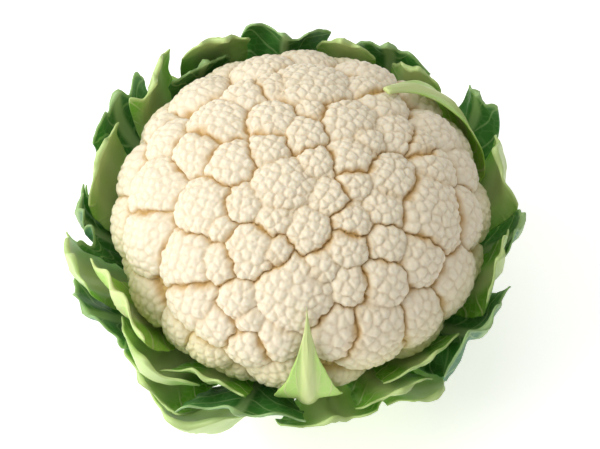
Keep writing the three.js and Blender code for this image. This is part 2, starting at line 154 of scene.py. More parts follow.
SWELL_LEVEL = 0.6  # the share of a swelling that lies under the floret's plain cap
BUMPY_TO, SMOOTH_FROM = 112 * DEGREE, 126 * DEGREE  # how far down from the top the florets go
GAP_WIDTH, LUMP_GAP_WIDTH = 3, 1.8  # how far from a crease its painted shade reaches
CROWN_FROM = 37  # a floret this far above the curd's middle is part of the crown piece
CURD_DETAIL = 165  # triangles along one edge of the twenty-sided start
WELD = 1e5  # corners that agree to one part in this many are one
BATCH, FAR_AWAY = 4000, 1e3  # points worked out at a time, and a distance past all others


def unit(v):
    return v / np.linalg.norm(v, axis=-1, keepdims=True)


def mix(a, b, k):
    return a + (b - a) * k


def smooth(low, high, x):
    k = np.clip((x - low) / (high - low), 0, 1)
    return k * k * (3 - 2 * k)


def plain_reach(d):
    """How far the plain flattened ball reaches from its middle in directions d."""
    height = np.where(d[..., 2] < 0, CURD_DROP, CURD_RISE)
    across = np.hypot(d[..., 0], d[..., 1]) / CURD_RADIUS
    return 1 / np.hypot(across, d[..., 2] / height)


def seen_point(right, up):
    """The point of the plain ball that the camera sees at (right, up) from its middle."""
    sine, cosine = math.sin(CAMERA_ELEVATION), math.cos(CAMERA_ELEVATION)
    steps = np.arange(0, 2 * CURD_RADIUS, SIGHT_STEP)
    for share in np.arange(1, 0, -SIGHT_PULL):
        start = np.array([right * share, up * share * sine, up * share * cosine])
        line = start + np.outer(2 * CURD_RADIUS - steps, [0, -cosine, sine])
        inside = np.linalg.norm(line, axis=1) <= plain_reach(unit(line))
        if inside.any():
            return line[np.argmax(inside)]


def on_ball(direction):
    return direction * plain_reach(direction)


def listed_and_filled():
    """The florets: those seen in front, then fillers on a golden spiral wherever one has room."""
    found = [(seen_point(right, up), radius) for right, up, radius in FLORETS]
    for radius in FILLER_RADII:
        for i in range(FILLER_TRIES):
            polar = math.acos(1 - (1 - math.cos(FILLER_LOWEST)) * (i + 0.5) / FILLER_TRIES)
            around = i * GOLDEN_ANGLE
            out = math.sin(polar)
            at = on_ball(np.array([out * math.cos(around), out * math.sin(around), math.cos(polar)]))
            if all(np.linalg.norm(other - at) > FILLER_OVERLAP * (r + radius) for other, r in found):
                found.append((at, radius))
    return np.array([at for at, _ in found]), np.array([radius for _, radius in found], float)


def distances(points, others):
    """How far each point lies from each of the others: one row a point."""
    squares = (points**2).sum(axis=1)[:, None] + (others**2).sum(axis=1) - 2 * points @ others.T
    return np.sqrt(np.maximum(squares, 0))


def floret_falls(points):
    """How deep under the plain ball each floret's cap lies at each point: one row a point."""
    share = distances(points, floret_at) / floret_radius
    return np.minimum(CAP_DEEPEST, floret_radius * (CAP_DROP * share**CAP_POWER - CAP_STAND))


def turned_to(axis):
    """The shortest turn that takes +Z to axis, as a matrix."""
    return np.array(Vector((0, 0, 1)).rotation_difference(Vector(axis)).to_matrix())


def spirals(parents, radii, spacing, owner_of):
    """Golden spirals of points over each parent, as far as its own rim and none too close."""
    found, owners = np.zeros((0, 3)), []
    step = spacing * SPIRAL_STEP
    for parent, (at, radius) in enumerate(zip(parents, radii)):
        height = CURD_DROP if at[2] < 0 else CURD_RISE
        turn = turned_to(unit(at / np.array([CURD_RADIUS**2, CURD_RADIUS**2, height**2])))
        k = 0
        while (out := step * math.sqrt(k + SPIRAL_START)) < SPIRAL_REACH * radius:
            around = k * GOLDEN_ANGLE
            direction = unit(at + turn @ np.array([out * math.cos(around), out * math.sin(around), 0]))
            point = on_ball(direction)
            k += 1
            if math.acos(direction[2]) > BUD_LOWEST or owner_of(point) != parent:
                continue
            if not len(found) or np.linalg.norm(found - point, axis=1).min() > spacing * BUD_NEAREST:
                found = np.vstack([found, point])
                owners.append(parent)
    return found, np.array(owners)


def floret_under(point):
    return floret_falls(point[None])[0].argmin()


def bud_under(point):
    return np.linalg.norm(bud_at - point, axis=1).argmin()


floret_at, floret_radius = listed_and_filled()
bud_at, _ = spirals(floret_at, floret_radius, BUD_SPACING, floret_under)
bud_radius = np.full(len(bud_at), BUD_SPACING * BUD_REACH)
lump_at, lump_bud = spirals(bud_at, bud_radius, LUMP_SPACING, bud_under)


def ball_start(n):
    """Directions spread evenly over a ball, from a twenty-sided solid with n triangles an edge."""
    g = (1 + math.sqrt(5)) / 2
    corners = [(-1, g, 0), (1, g, 0), (-1, -g, 0), (1, -g, 0), (0, -1, g), (0, 1, g)]
    corners += [(0, -1, -g), (0, 1, -g), (g, 0, -1), (g, 0, 1), (-g, 0, -1), (-g, 0, 1)]
    corners = np.array(corners, float)
    sides = [(0, 11, 5), (0, 5, 1), (0, 1, 7), (0, 7, 10), (0, 10, 11), (1, 5, 9), (5, 11, 4)]
    sides += [(11, 10, 2), (10, 7, 6), (7, 1, 8), (3, 9, 4), (3, 4, 2), (3, 2, 6), (3, 6, 8)]
    sides += [(3, 8, 9), (4, 9, 5), (2, 4, 11), (6, 2, 10), (8, 6, 7), (9, 8, 1)]
    i, j = np.meshgrid(np.arange(n + 1), np.arange(n + 1), indexing="ij")
    keep = i + j <= n
    number = -np.ones(i.shape, int)
    number[keep] = np.arange(keep.sum())
    i, j = i[keep], j[keep]
    up_i, up_j = i[i + j < n], j[i + j < n]
    down_i, down_j = i[i + j < n - 1], j[i + j < n - 1]
    up = [number[up_i, up_j], number[up_i + 1, up_j], number[up_i, up_j + 1]]
    down = [number[down_i + 1, down_j], number[down_i + 1, down_j + 1], number[down_i, down_j + 1]]
    triangles = np.concatenate([np.stack(up, 1), np.stack(down, 1)])
    weights = [(n - i - j)[:, None], i[:, None], j[:, None]]
    points = [sum(weight * corners[c] for weight, c in zip(weights, side)) / n for side in sides]
    points = np.concatenate(points)
    faces = np.concatenate([triangles + k * len(i) for k in range(len(sides))])
    rounded = np.round(points * WELD).astype(np.int64)
    _, first, back = np.unique(rounded, axis=0, return_index=True, return_inverse=True)
    return unit(points[first]), back.reshape(-1)[faces]


def pillow(edge, half, steep=0.5):
    """A rounded swelling: 0 at a crease, 1 from half its width in."""
    return np.maximum(0, 1 - (1 - np.clip(edge / half, 0, 1)) ** 2) ** steep


directions, curd_faces = ball_start(CURD_DETAIL)
plain = directions * plain_reach(directions)[:, None]
branches = np.flatnonzero(floret_radius >= BRANCH_LEAST)
floret_branch = (distances(floret_at, floret_at[branches]) - floret_radius[branches]).argmin(axis=1)
owner = np.zeros(len(plain), int)
fall, branch_edge, floret_edge, bud_edge, lump_edge = (np.zeros(len(plain)) for _ in range(5))
# A point belongs to the floret whose cap stands highest there. How far the next cap lies under it
# says how near their crease is. Buds and lumps go by distance, and pull the creases round them.
for at in range(0, len(plain), BATCH):
    part = slice(at, at + BATCH)
    points = plain[part]
    rows = np.arange(len(points))
    far = distances(points, lump_at)
    pull = np.exp(-far / SCALLOP_SOFT)
    pushed = mix(points, pull @ lump_at / pull.sum(axis=1)[:, None], SCALLOP)
    falls = floret_falls(pushed)
    mine = falls.argmin(axis=1)
    lowest = falls[rows, mine]
    outside = floret_branch[None] != floret_branch[mine][:, None]
    branch_edge[part] = np.where(outside, falls, FAR_AWAY).min(axis=1) - lowest
    falls[rows, mine] = FAR_AWAY
    floret_edge[part] = falls.min(axis=1) - lowest
    nearest = far.argmin(axis=1)
    own = far[rows, nearest]
    outside = lump_bud[None] != lump_bud[nearest][:, None]
    bud_edge[part] = (np.where(outside, far, FAR_AWAY).min(axis=1) - own) / 2
    far[rows, nearest] = FAR_AWAY
    lump_edge[part] = (far.min(axis=1) - own) / 2
    owner[part] = mine
    fall[part] = floret_falls(points).min(axis=1)
floret_crease = FLORET_CREASE * (1 - pillow(floret_edge, FLORET_HALF))
fall += floret_crease + BRANCH_CREASE * (1 - pillow(branch_edge, BRANCH_HALF))
bud_swell = BUD_RISE * (pillow(bud_edge, BUD_HALF, BUD_STEEP) - SWELL_LEVEL)
bumps = bud_swell + LUMP_RISE * (pillow(lump_edge, LUMP_HALF, LUMP_STEEP) - SWELL_LEVEL)
polar = np.arccos(np.clip(directions[:, 2], -1, 1))
bumpy = 1 - smooth(BUMPY_TO, SMOOTH_FROM, polar)
reach = plain_reach(directions) - bumpy * (fall - bumps)
flat = polar > NECK_FROM
reach[flat] = (CURD_CENTRE - NECK_HEIGHT) / -directions[flat, 2]
curd_points = directions * reach[:, None] + [0, 0, CURD_CENTRE]
creases = {
    "branch_gap": np.clip(branch_edge / GAP_WIDTH, 0, 1),
    "floret_gap": np.clip(floret_edge / GAP_WIDTH, 0, 1),
    "bud_gap": np.clip(bud_edge / GAP_WIDTH, 0, 1),
    "lump_gap": np.clip(lump_edge / LUMP_GAP_WIDTH, 0, 1),
    "bumpy": bumpy,
}


def mesh_from(name, points, faces, **layers):
    """A mesh from arrays, in millimetres, with each layer as a number on its points."""
    mesh = bpy.data.meshes.new(name)
    faces = np.asarray(faces)
    corners = faces.shape[1]
    mesh.vertices.add(len(points))
    mesh.vertices.foreach_set("co", (np.asarray(points) * MM).ravel())
    mesh.loops.add(faces.size)
    mesh.loops.foreach_set("vertex_index", faces.ravel())
    mesh.polygons.add(len(faces))
    mesh.polygons.foreach_set("loop_start", np.arange(len(faces)) * corners)
    mesh.update(calc_edges=True)
    mesh.polygons.foreach_set("use_smooth", np.ones(len(faces), bool))
    for key, value in layers.items():
        mesh.attributes.new(key, "FLOAT", "POINT").data.foreach_set("value", np.asarray(value, float))
    mesh.validate()
    return mesh


def both_ways(operation):
    """An operator on a Value, and its reflected form for a plain number on the left."""

    def forwards(self, other):
        return self.tree.maths(operation, self, other)

    def backwards(self, other):
        return self.tree.maths(operation, other, self)

    return forwards, backwards


class Value:
    """A number in a tree of nodes, so that maths is written as an expression."""

    __add__, __radd__ = both_ways("ADD")
    __sub__, __rsub__ = both_ways("SUBTRACT")
    __mul__, __rmul__ = both_ways("MULTIPLY")
    __truediv__, __rtruediv__ = both_ways("DIVIDE")
    __pow__, __rpow__ = both_ways("POWER")

    def __init__(self, tree, socket):
        self.tree, self.socket = tree, socket


class Tree:
    """A geometry or shader tree under construction: node() adds one and fills its sockets."""

    def __init__(self, tree):
        self.tree = tree

    def node(self, kind, settings=None, **sockets):
        """A new node. A socket goes by its name, or by its number after an underscore."""
        made = self.tree.nodes.new(kind)
        for key, value in (settings or {}).items():
            setattr(made, key, value)
        for key, value in sockets.items():
            name = key.replace("_", " ")
            found = [s for s in made.inputs if s.name == name and s.enabled]
            self.plug(value, found[0] if found else made.inputs[int(key[1:])])
        return made

    def plug(self, value, socket):
        if isinstance(value, Value):
            value = value.socket
        if isinstance(value, bpy.types.NodeSocket):
            self.tree.links.new(value, socket)
        else:
            socket.default_value = value

    def maths(self, operation, *inputs):
        sockets = {f"_{k}": value for k, value in enumerate(inputs)}
        return Value(self, self.node("ShaderNodeMath", {"operation": operation}, **sockets).outputs[0])

    def blend(self, share, first, second):
        """The first colour where share is 0, and the second where it is 1."""
        made = self.node("ShaderNodeMix", {"data_type": "RGBA"}, _0=share, _6=first, _7=second)
        return made.outputs[2]

    def step(self, low, high, value):
        """A smooth rise from 0 below low to 1 above high."""
        limits = dict(Value=value, From_Min=low, From_Max=high)
        made = self.node("ShaderNodeMapRange", {"interpolation_type": "SMOOTHSTEP"}, **limits)
        return Value(self, made.outputs["Result"])

    def layer(self, name):
        """One of the numbers that a mesh holds on its points."""
        return Value(self, self.node("ShaderNodeAttribute", {"attribute_name": name}).outputs["Fac"])

    def cloud(self, place, scale, detail):
        """Soft noise between 0 and 1."""
        made = self.node("ShaderNodeTexNoise", Vector=place, Scale=scale, Detail=detail)
        return Value(self, made.outputs["Fac"])


# The grains' sizes are in metres. Nearest and reach are shares of the spacing, crowd is the most
# points in a square of it, and level is the share of a grain that lies under the surface.
GRAIN_SIZES = dict(Spacing=0.0021, Height=0.0003, Roundness=0.9, Seed=8)
GRAIN_NEAREST, GRAIN_CROWD, GRAIN_REACH, GRAIN_LEVEL = 0.86, 9.0, 0.66, 0.5


def grain_tree():
    """Geometry nodes that raise a dome over each of many evenly spaced points."""
    group = bpy.data.node_groups.new("grains", "GeometryNodeTree")
    group.interface.new_socket("Geometry", in_out="INPUT", socket_type="NodeSocketGeometry")
    for name in ("Spacing", "Height", "Roundness"):
        group.interface.new_socket(name, in_out="INPUT", socket_type="NodeSocketFloat")
    group.interface.new_socket("Seed", in_out="INPUT", socket_type="NodeSocketInt")
    group.interface.new_socket("Layer", in_out="INPUT", socket_type="NodeSocketString")
    group.interface.new_socket("Material", in_out="INPUT", socket_type="NodeSocketMaterial")
    group.interface.new_socket("Geometry", in_out="OUTPUT", socket_type="NodeSocketGeometry")
    tree = Tree(group)
    inputs = tree.node("NodeGroupInput").outputs
    spacing = Value(tree, inputs["Spacing"])
    spread = tree.node(
        "GeometryNodeDistributePointsOnFaces",
        {"distribute_method": "POISSON"},
        Mesh=inputs["Geometry"],
        Distance_Min=spacing * GRAIN_NEAREST,
        Density_Max=GRAIN_CROWD / (spacing * spacing),
        Seed=inputs["Seed"],
    ).outputs["Points"]
    near = tree.node("GeometryNodeProximity", {"target_element": "POINTS"}, Geometry=spread)
    share = Value(tree, near.outputs["Distance"]) / (spacing * GRAIN_REACH)
    dome = tree.maths("MAXIMUM", 1 - share * share, 0.0) ** inputs["Roundness"]
    kept = tree.node(
        "GeometryNodeStoreNamedAttribute",
        {"data_type": "FLOAT", "domain": "POINT"},
        Geometry=inputs["Geometry"],
        Name=inputs["Layer"],
        Value=dome,
    ).outputs["Geometry"]
    bumpy = tree.node("GeometryNodeInputNamedAttribute", {"data_type": "FLOAT"}, Name="bumpy")
    height = (dome - GRAIN_LEVEL) * inputs["Height"] * Value(tree, bumpy.outputs["Attribute"])
    normal = tree.node("GeometryNodeInputNormal").outputs[0]
    offset = tree.node("ShaderNodeVectorMath", {"operation": "SCALE"}, Vector=normal, Scale=height)
    moved = tree.node("GeometryNodeSetPosition", Geometry=kept, Offset=offset.outputs["Vector"])
    real = tree.node("GeometryNodeRealizeInstances", Geometry=moved.outputs["Geometry"])
    real = real.outputs["Geometry"]
    skin = tree.node("GeometryNodeSetMaterial", Geometry=real, Material=inputs["Material"])
    group.links.new(skin.outputs["Geometry"], tree.node("NodeGroupOutput").inputs[0])
    return group


CURD_ROUGHNESS = 0.62
# The second colour is tan shade painted into the creases, and the third is green light from the leaves
# painted on the low curd.
CURD_CREAM, CURD_CREASE_SHADE, CURD_LEAF_BOUNCE = (0.86, 0.78, 0.61, 1), (0.56, 0.36, 0.13, 1), (0.70, 0.68, 0.27, 1)
CURD_GLOW = dict(Subsurface_Weight=0.25, Subsurface_Radius=(1.0, 0.75, 0.45), Subsurface_Scale=0.004)
# How sharply each layer's painted shade falls off from its crease, and how strong that tan shade is there.
CREASE_SHADES = {
    "branch_gap": (4.0, 0.75),
    "floret_gap": (4.0, 0.34),
    "bud_gap": (3.0, 0.12),
    "lump_gap": (3.0, 0.14),
    "grains": (1.4, 0.06),
}
# Where the green light that the leaves throw is painted on the low curd: under the first height, fading out
# by the second, at most this share.
BOUNCE_UNDER, CREAM_OVER, BOUNCE_MOST = 0.08, 0.108, 0.825  # two heights in metres, and a share
BOUNCE_CLOUD = (30.0, 2.0)


def curd_material():
    """Creamy white, with tan shade painted into each crease and green light from the leaves painted low
    down.
    """
    material = principled("curd", Roughness=CURD_ROUGHNESS, **CURD_GLOW)
    tree = Tree(material.node_tree)
    # Painted shade: tan laid into every crease and round every grain, strongest in the deepest creases.
    crease_shades = [(1 - tree.layer(name)) ** sharp * most for name, (sharp, most) in CREASE_SHADES.items()]
    crease_shade = tree.maths("MINIMUM", sum(crease_shades), 1.0)
    place = tree.node("ShaderNodeTexCoord").outputs["Object"]
    height = tree.node("ShaderNodeSeparateXYZ", Vector=place).outputs["Z"]
    # Painted light: the green that the leaves throw on the low curd, patchy through a noise.
    low = 1 - tree.step(BOUNCE_UNDER, CREAM_OVER, height)
    green = low * tree.cloud(place, *BOUNCE_CLOUD) * BOUNCE_MOST
    skin = tree.blend(green, tree.blend(crease_shade, CURD_CREAM, CURD_CREASE_SHADE), CURD_LEAF_BOUNCE)
    tree.plug(skin, material.node_tree.nodes["Principled BSDF"].inputs["Base Color"])
    return material


curd_white = curd_material()
curd_start = place_object("curd_start", mesh_from("curd_start", curd_points, curd_faces, **creases))
grains = curd_start.modifiers.new("grains", "NODES")
grains.node_group = grain_tree()
grain_inputs = GRAIN_SIZES | dict(Layer="grains", Material=curd_white)
for socket in grains.node_group.interface.items_tree:
    if socket.name in grain_inputs:
        grains[socket.identifier] = grain_inputs[socket.name]

finished = curd_start.evaluated_get(bpy.context.evaluated_depsgraph_get())
curd_mesh = bpy.data.meshes.new_from_object(finished)
bpy.data.objects.remove(curd_start)
curd_points = np.zeros(len(curd_mesh.vertices) * 3)
curd_mesh.vertices.foreach_get("co", curd_points)
curd_points = curd_points.reshape(-1, 3) / MM
curd_layers = {}
for name in ("grains", *creases):
    curd_layers[name] = np.zeros(len(curd_mesh.vertices))
    curd_mesh.attributes[name].data.foreach_get("value", curd_layers[name])

CURD_PIECES = ["curd_crown", "curd_far_right", "curd_far_left", "curd_near_left", "curd_near_right"]
around = np.arctan2(floret_at[:, 1], floret_at[:, 0]) % (2 * math.pi)
quarter = 1 + (around / (math.pi / 2)).astype(int) % 4
floret_piece = np.where(floret_at[:, 2] > CROWN_FROM, 0, quarter)
face_piece = floret_piece[owner[curd_faces].max(axis=1)]
for number, name in enumerate(CURD_PIECES):
    used, back = np.unique(curd_faces[face_piece == number], return_inverse=True)
    layers = {key: value[used] for key, value in curd_layers.items()}
    mesh = mesh_from(name, curd_points[used], back.reshape(-1, 3), **layers)
    mesh.materials.append(curd_white)
    piece = place_object(name, mesh)
    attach(piece, "root")
    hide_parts("curd")

# The stump
# The thick stem under the curd, cut flat with a knife. Its skin is pale green and ribbed below
# the leaf stalks. The cut face is whiter, has a ring of fibres and has browned a little.

STUMP_RADIUS, STUMP_HEIGHT, CUT_RADIUS, CUT_ROUNDING = 25, 44, 22.5, 4
STUMP_SIDES, STUMP_TOP_RING = 144, 12
CUT_RINGS, EDGE_RINGS, SIDE_RINGS = 22, 6, 30
EDGE_START = 0.1  # the first ring on the rounding, as an angle from the cut face
CUT_FLESH_TO = 0.5  # the flesh shows up to this height, and the skin above it
STUMP_RIBS, RIB_DEPTH, RIB_SWAY, RIB_FADE, RIB_WAVE = 9, 0.8, 1.4, 0.3, 0.4  # round the skin
DISH_DEPTH, DISH_INNER, DISH_SIDES, DISH_WAVE = 0.35, 5, 3, 0.2  # the hollow in the cut face
STUMP_SKIN, STUMP_SKIN_LIGHT = (0.50, 0.60, 0.26, 1), (0.66, 0.72, 0.42, 1)
FLESH, FLESH_RING, FLESH_BROWN = (0.80, 0.80, 0.55, 1), (0.52, 0.62, 0.30, 1), (0.42, 0.27, 0.11, 1)
STUMP_CLOUD = (160.0, 5.0)
FIBRES, FIBRE_SWAY = 70.0, 0.12  # how tightly the fibres lie round the middle, and their sway
RING_AT, RING_SWAY, RING_THIN, RING_MOST = 0.66, 0.1, 9.0, 0.7  # the green ring in the flesh
BROWN_SHARP, BROWN_OVER, BROWN_RIM, BROWN_MOST = 4.0, 2.2, 0.5, 0.5  # browned spots on the cut
STUMP_SMOOTH, STUMP_ROUGH = 0.42, 0.2
STUMP_BUMP = dict(Strength=0.3, Distance=0.0006)

cut_rings = np.linspace(0, CUT_RADIUS, CUT_RINGS)
edge_turn = np.linspace(EDGE_START, math.pi / 2, EDGE_RINGS)
side_rings = np.linspace(CUT_ROUNDING + 1, STUMP_HEIGHT, SIDE_RINGS)
edge_r = mix(CUT_RADIUS, STUMP_RADIUS, np.sin(edge_turn))
edge_z = CUT_ROUNDING * (1 - np.cos(edge_turn))
side_r = np.full(SIDE_RINGS, STUMP_RADIUS)
stump_r = np.array([*cut_rings, *edge_r, *side_r, STUMP_TOP_RING, 0])[:, None]
stump_z = np.array([*np.zeros(CUT_RINGS), *edge_z, *side_rings, STUMP_HEIGHT, STUMP_HEIGHT])[:, None]
turn = np.arange(STUMP_SIDES) / STUMP_SIDES * 2 * math.pi
on_side = smooth(0, CUT_ROUNDING, stump_z) * (stump_r > CUT_RADIUS) * (stump_z < STUMP_HEIGHT - 1)
ribs = np.sin(turn * STUMP_RIBS + RIB_SWAY * np.sin(turn * 2))
ribs = 0.5 + 0.5 * ribs * (1 - RIB_FADE + RIB_FADE * np.sin(stump_z * RIB_WAVE))
radius = stump_r - on_side * ribs * RIB_DEPTH
dish = DISH_DEPTH * smooth(CUT_RADIUS, DISH_INNER, stump_r) * (stump_z == 0)
height = stump_z + dish * (1 - DISH_WAVE + DISH_WAVE * np.sin(turn * DISH_SIDES))
stump_points = np.stack([radius * np.cos(turn), radius * np.sin(turn), height], -1).reshape(-1, 3)
ring, side = np.meshgrid(np.arange(len(stump_r) - 1), np.arange(STUMP_SIDES), indexing="ij")
after = (side + 1) % STUMP_SIDES
below, above = ring * STUMP_SIDES, (ring + 1) * STUMP_SIDES
stump_faces = np.stack([below + side, above + side, above + after, below + after], -1)
stump_faces = stump_faces.reshape(-1, 4)[:, ::-1]
cut_face = np.repeat((stump_z < CUT_FLESH_TO) * 1.0, STUMP_SIDES, 1).ravel()


def stump_material():
    """Pale green skin; on the cut face cream flesh, with a fibre ring and tan spots."""
    material = principled("stump")
    shader = material.node_tree.nodes["Principled BSDF"]
    tree = Tree(material.node_tree)
    place = tree.node("ShaderNodeTexCoord").outputs["Object"]
    x, y, _ = (Value(tree, axis) for axis in tree.node("ShaderNodeSeparateXYZ", Vector=place).outputs)
    out = tree.maths("SQRT", x * x + y * y) / (STUMP_RADIUS * MM)
    cloud = tree.cloud(place, *STUMP_CLOUD)
    fibre = tree.maths("SINE", (out + cloud * FIBRE_SWAY) * FIBRES) * 0.5 + 0.5
    off_ring = tree.maths("ABSOLUTE", out - RING_AT + (cloud - 0.5) * RING_SWAY)
    ring = 1 - tree.maths("MINIMUM", off_ring * RING_THIN, 1.0)
    brown = tree.maths("MAXIMUM", cloud * BROWN_SHARP - BROWN_OVER + out * BROWN_RIM, 0.0)
    brown = tree.maths("MINIMUM", brown, 1.0) * BROWN_MOST
    flesh = tree.blend(brown, tree.blend(ring * RING_MOST, FLESH, FLESH_RING), FLESH_BROWN)
    skin = tree.blend(cloud, STUMP_SKIN, STUMP_SKIN_LIGHT)
    tree.plug(tree.blend(tree.layer("cut"), skin, flesh), shader.inputs["Base Color"])
    tree.plug(STUMP_SMOOTH + cloud * STUMP_ROUGH, shader.inputs["Roughness"])
    bump = tree.node("ShaderNodeBump", Height=fibre * 0.5 + cloud, **STUMP_BUMP)
    tree.plug(bump.outputs["Normal"], shader.inputs["Normal"])
    return material


stump_mesh = mesh_from("stump_flesh", stump_points, stump_faces, cut=cut_face)
stump_mesh.materials.append(stump_material())
stump_flesh = place_object("stump_flesh", stump_mesh)
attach(stump_flesh, "root")
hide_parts("stump")

# The leaves
# Each leaf grows from the stump by a thick pale midrib and cups the curd, lying on the leaves
# inside it. The tops are cut off at the harvest, so the upper edges are torn or sliced.

BOWL_RADIUS, BOWL_RISE, BOWL_DROP, BOWL_FROM, BOWL_TO = 86.6, 57.8, 41.8, 17.3 * DEGREE, 152 * DEGREE
BOWL_EASE = 25 * DEGREE  # over this angle, the way out turns from straight down to square on
WRAP_REACH = 8  # a leaf's width is measured this far outside the bowl
PILE_AROUND, PILE_ALONG = 240, 90  # the steps in which the pile of leaves is kept
LEAF_GAP = 0.8  # between a leaf and what it lies on
NEAR_ACROSS, NEAR_ALONG, NEAR = 4, 7, (-1, -0.5, 0, 0.5, 1)  # a leaf also clears what lies near it
EASE_FROM, EASE_TO = 2, 14  # past a leaf's edge, the pile falls back over this distance
ROWS = 7  # a leaf is laid at these steps up it, and at these places across it
COLUMNS = np.array([-1, -0.72, -0.4, -0.17, 0, 0.17, 0.4, 0.72, 1])
STALK_HALF, STALK_THICK, STALK_SIDE = 9.5, 6.5, 2.6  # the leaf stalk where it meets the stump
BLADE_THICK = 0.9
# The part of a leaf's length over which each change comes in, from the stump up to the top.
BROAD_OVER, POINT_OVER, BEND_OVER = (0.15, 0.9), (0.5, 1.02), (0.5, 1)
FLARE_OVER, FOLD_OVER, EDGE_OVER, RIPPLE_OVER = (0.5, 1.1), (0.72, 1.05), (0.3, 0.8), (0.3, 0.7)
SIDE_THIN_OVER, RIB_THIN_OVER, RIB_NARROW_OVER = (0, 0.5), (0, 0.9), (0, 0.8)
FLARE_MOST, EDGE_POWER, OTHER_SIDE_PHASE = 1.05, 3, 1.7

LEAF = dict(azimuth=0, bend=0, top=100, width=28, point=0, sag=6, tilt=0, jag=1.5, teeth=3, rib=8)
LEAF |= dict(rib_thick=2.8, flare=0, fold=0, belly=0, edge=0, ripple=0, waves=2)
# The leaves from the inside out, where each one differs from the plain leaf above. Angles are in
# degrees: azimuth round the head, and top, sag, tilt and jag up the bowl.
LEAVES = {
    "heart_leaf_front": dict(
        azimuth=272, top=128, width=16, point=1, sag=0, jag=0, rib=3, rib_thick=2, belly=1
    ),
    "heart_leaf_left": dict(azimuth=212, top=107, width=24, sag=9, rib=5, rib_thick=2, flare=2, fold=10),
    "leaf_inner_left": dict(azimuth=243, top=90, width=20, sag=6, rib=4, rib_thick=2, flare=1, fold=3),
    "leaf_inner_right": dict(azimuth=308, top=88, width=22, sag=7, rib=4, rib_thick=2, flare=1, fold=2),
    "heart_leaf_right": dict(
        azimuth=31, bend=12, top=144, width=21, point=0.9, sag=0, jag=0, rib=3, rib_thick=2, belly=2
    ),
    "dark_leaf_back_left": dict(
        azimuth=122, top=110, width=17, sag=7, tilt=3, jag=2, rib=3, flare=2, ripple=2
    ),
    "leaf_right": dict(azimuth=343, top=100, width=21, sag=9, rib=5, flare=5, edge=1, ripple=1),
    "leaf_back": dict(azimuth=116, top=117, width=17, sag=6, rib=10, flare=6),
    "leaf_back_right": dict(azimuth=76, top=115, width=15, sag=11, rib=7, flare=3),
    "leaf_far_right": dict(azimuth=14, top=107, width=18, sag=14, rib=10, flare=6, edge=1),
    "leaf_far_left": dict(azimuth=167, top=107, width=21, sag=7, tilt=-2, rib=12, flare=5, fold=4),
    "dark_leaf_frilly": dict(
        azimuth=181, top=99, width=17, sag=9, jag=4, teeth=5, rib=3, flare=2, ripple=2
    ),
    "leaf_front_left": dict(azimuth=226, top=93, width=25, sag=12, rib=10, belly=3, flare=1),
    "leaf_torn": dict(azimuth=137, top=112, width=15, sag=9, jag=2, rib=8, flare=5, edge=1),
    "leaf_front": dict(azimuth=298, top=81, width=20, sag=10, rib=6, flare=3, edge=3, ripple=2),
    "leaf_small": dict(azimuth=54, top=107, width=14, sag=12, rib=7, flare=3),
    "dark_leaf_back": dict(azimuth=95, top=117, width=20, sag=9, tilt=-2, jag=3, rib=3, flare=3, ripple=2),
    "leaf_left": dict(azimuth=194, top=98, width=17, sag=7, tilt=2, rib=10, flare=4, belly=3),
    "dark_leaf_front": dict(azimuth=254, top=87, width=27, sag=8, jag=2, rib=3, flare=2, fold=5, ripple=2),
    "dark_leaf_near_right": dict(
        azimuth=326, top=91, width=27, sag=9, jag=3, rib=4, flare=3, ripple=2, waves=3
    ),
    "dark_leaf_right": dict(azimuth=358, top=93, width=12, sag=10, jag=2, rib=4),
    "dark_leaf_far": dict(azimuth=64, top=106, width=18, sag=10, jag=2, rib=4, flare=2, ripple=2, waves=3),
    "leaf_pointing_right": dict(azimuth=35, top=104, width=17, sag=5, point=0.55, jag=1, rib=3, flare=9),
    "leaf_pointing_left": dict(
        azimuth=147, top=102, width=21, sag=5, tilt=3, jag=3, rib=4, flare=5, ripple=2
    ),
    "dark_leaf_left": dict(azimuth=206, top=88, width=20, sag=10, jag=2, rib=4, flare=2, ripple=2),
    "wrapper_near_left": dict(azimuth=227, top=78, width=27, sag=9, jag=2, rib=6, ripple=2, belly=2),
    "wrapper_bulging": dict(azimuth=243, top=77, width=30, sag=10, rib=13, rib_thick=4, belly=13),
    "wrapper_front": dict(azimuth=279, top=74, width=29, sag=9, jag=2, rib=8, belly=6, flare=1, ripple=1),
    "wrapper_near_right": dict(azimuth=308, top=69, width=20, sag=8, rib=8, belly=8, flare=2, edge=2),
    "wrapper_back": dict(azimuth=112, top=89, width=26, jag=3, rib=7, belly=3, flare=2, ripple=2, waves=3),
    "wrapper_back_right": dict(
        azimuth=40, top=84, width=28, sag=9, jag=3, rib=8, belly=4, ripple=2, waves=3
    ),
}


def bowl_at(angle):
    """The bowl's profile: its radius, its height, and the way out of it."""
    drop = np.where(angle < math.pi / 2, BOWL_DROP, BOWL_RISE)
    tilt = np.arctan2(np.sin(angle) / BOWL_RADIUS, np.cos(angle) / drop)
    out = tilt * smooth(BOWL_FROM, BOWL_FROM + BOWL_EASE, angle)
    return BOWL_RADIUS * np.sin(angle), CURD_CENTRE - drop * np.cos(angle), np.sin(out), -np.cos(out)


